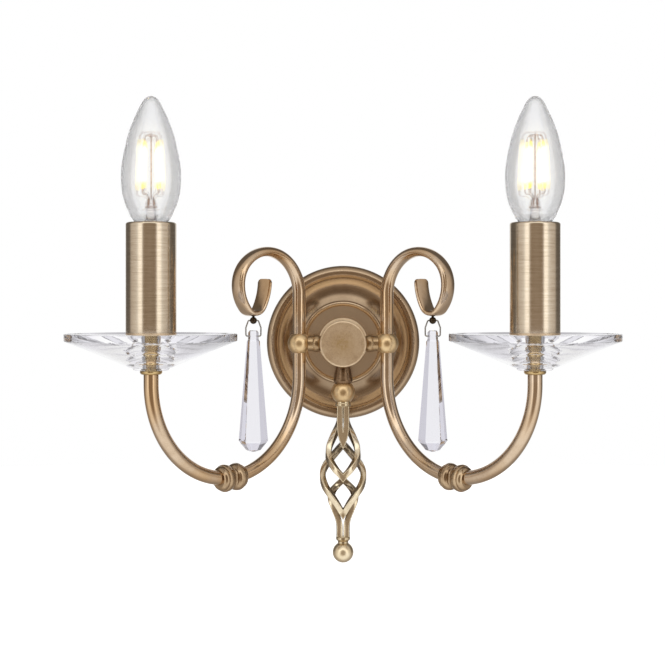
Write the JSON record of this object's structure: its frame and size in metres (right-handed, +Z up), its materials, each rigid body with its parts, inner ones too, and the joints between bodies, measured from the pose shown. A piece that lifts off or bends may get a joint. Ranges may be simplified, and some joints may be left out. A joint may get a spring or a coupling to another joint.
{
  "type": "wall sconce",
  "caption": "Wall light with scrolled brass arms, glass drip dishes, candle tubes with lamps, hanging cut crystals and a twisted cage drop under a round wall plate.",
  "frame": {"origin": "centre of the back of the wall bracket, on the wall", "axes": "+Z up, +X to the right seen from the room, +Y into the wall; the light stands out along -Y"},
  "size_m": [0.329, 0.1761, 0.2906],
  "materials": {
    "antique_brass": "aged, brushed and lacquered",
    "dish_glass": "clear, polished",
    "crystal": "clear cut crystal",
    "lamp_glass": "clear, thin",
    "lamp_stem_glass": "clear",
    "led_filament": "phosphor coating",
    "nickel": "satin nickel",
    "zinc_steel": "zinc plated",
    "white_plastic": "moulded",
    "contact_brass": "bright",
    "wire_brown": "insulation",
    "wire_blue": "insulation",
    "wire_green_yellow": "insulation",
    "bow_wire": "polished wire",
    "dark_hook": "dark bronze"
  },
  "bodies": {
    "root": {"arm_ball_left": "antique_brass", "arm_ball_right": "antique_brass", "arm_collars": "antique_brass", "arm_end_nipples": "contact_brass", "arm_nipples": "zinc_steel", "cage_collar": "antique_brass", "cage_ferrule": "antique_brass", "cage_long_rods": "antique_brass", "cage_lower_loop": "antique_brass", "cage_upper_loop": "antique_brass", "candle_tube_left": "antique_brass", "candle_tube_right": "antique_brass", "clamp_screws": "zinc_steel", "dish_spacers": "antique_brass", "dish_washers": "antique_brass", "drop_ball": "antique_brass", "drop_hooks": "dark_hook", "drop_stub": "antique_brass", "drop_stud": "zinc_steel", "earth_screw": "zinc_steel", "earth_wire": "wire_green_yellow", "finial_ball": "antique_brass", "glass_dish_left": "dish_glass", "glass_dish_right": "dish_glass", "holder_base_left": "antique_brass", "holder_base_right": "antique_brass", "hub_body": "antique_brass", "hub_cap": "antique_brass", "hub_nipple": "zinc_steel", "hub_nut": "zinc_steel", "inner_arm_left": "antique_brass", "inner_arm_right": "antique_brass", "knuckle_left": "antique_brass", "knuckle_right": "antique_brass", "lampholder_body_left": "white_plastic", "lampholder_body_right": "white_plastic", "lampholder_contacts": "contact_brass", "lampholder_shells": "contact_brass", "live_wires": "wire_brown", "neutral_wires": "wire_blue", "outer_arm_left": "antique_brass", "outer_arm_right": "antique_brass", "side_screws": "zinc_steel", "terminal_block": "white_plastic", "wall_bracket": "zinc_steel", "wall_plate": "antique_brass"},
    "contact_left": {"bulb_contact_left": "nickel"},
    "bulb_left": {"bulb_glass_left": "lamp_glass", "bulb_cap_left": "nickel", "bulb_stem_left": "lamp_stem_glass", "bulb_filaments_left": "led_filament"},
    "bow_left": {"drop_bow_left": "bow_wire"},
    "crystal_left": {"crystal_drop_left": "crystal"},
    "contact_right": {"bulb_contact_right": "nickel"},
    "bulb_right": {"bulb_glass_right": "lamp_glass", "bulb_cap_right": "nickel", "bulb_stem_right": "lamp_stem_glass", "bulb_filaments_right": "led_filament"},
    "bow_right": {"drop_bow_right": "bow_wire"},
    "crystal_right": {"crystal_drop_right": "crystal"}
  },
  "joints": [
    {"name": "lamp_lift_left", "type": "slide", "parent": "root", "child": "contact_left", "axis": [0, 0, 1], "range_m": [0, 0.0085]},
    {"name": "lamp_unscrew_left", "type": "hinge", "parent": "contact_left", "child": "bulb_left", "pos_m": [-0.11354, -0.12514, 0.06], "axis": [0, 0, 1], "range_deg": [0, 1080]},
    {"name": "bow_swing_left", "type": "hinge", "parent": "root", "child": "bow_left", "pos_m": [-0.05647, -0.06807, 0.0152], "axis": [1, 0, 0], "range_deg": [-30, 30]},
    {"name": "crystal_swing_left", "type": "hinge", "parent": "bow_left", "child": "crystal_left", "pos_m": [-0.05647, -0.06807, 0.0053], "axis": [1, 0, 0], "range_deg": [-25, 25]},
    {"name": "lamp_lift_right", "type": "slide", "parent": "root", "child": "contact_right", "axis": [0, 0, 1], "range_m": [0, 0.0085]},
    {"name": "lamp_unscrew_right", "type": "hinge", "parent": "contact_right", "child": "bulb_right", "pos_m": [0.11354, -0.12514, 0.06], "axis": [0, 0, 1], "range_deg": [0, 1080]},
    {"name": "bow_swing_right", "type": "hinge", "parent": "root", "child": "bow_right", "pos_m": [0.05647, -0.06807, 0.0152], "axis": [1, 0, 0], "range_deg": [-30, 30]},
    {"name": "crystal_swing_right", "type": "hinge", "parent": "bow_right", "child": "crystal_right", "pos_m": [0.05647, -0.06807, 0.0053], "axis": [1, 0, 0], "range_deg": [-25, 25]}
  ],
  "couplings": [
    {"joint": "lamp_lift_left", "follows": "lamp_unscrew_left", "m_per_rad": 0.00044882},
    {"joint": "lamp_lift_right", "follows": "lamp_unscrew_right", "m_per_rad": 0.00044882}
  ]
}
